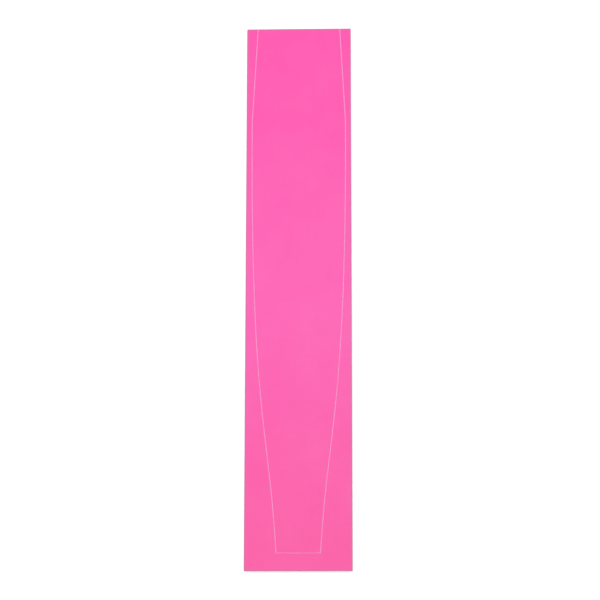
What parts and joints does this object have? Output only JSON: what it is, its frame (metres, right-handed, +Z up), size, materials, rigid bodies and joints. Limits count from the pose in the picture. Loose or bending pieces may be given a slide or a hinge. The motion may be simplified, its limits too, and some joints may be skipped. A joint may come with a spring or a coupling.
{
  "type": "scoring board",
  "caption": "Long thin craft board: a pink face sheet cut through along one tapered outline, whose centre lifts out as a template, on a white core with a non-slip backing.",
  "frame": {"origin": "middle of the underside, on the surface that the grip mat rests on", "axes": "+X across the board, +Y along it towards the end where the outline runs off, +Z up out of the pink face"},
  "size_m": [0.0584, 0.305, 0.0035],
  "materials": {
    "white_core": "matte",
    "pink_sheet": "satin",
    "clear_adhesive": "satin",
    "tack_film": "satin",
    "grip_rubber": "matte"
  },
  "bodies": {
    "board": {"core_board": "white_core", "surround_adhesive": "clear_adhesive", "surround_panel": "pink_sheet", "grip_mat_adhesive": "clear_adhesive", "grip_mat": "grip_rubber"},
    "centre": {"centre_tack_film": "tack_film", "centre_panel": "pink_sheet"}
  },
  "joints": [
    {"name": "centre_panel_lift", "type": "slide", "parent": "board", "child": "centre", "axis": [0, 0, 1], "range_m": [0, 0.03]}
  ]
}
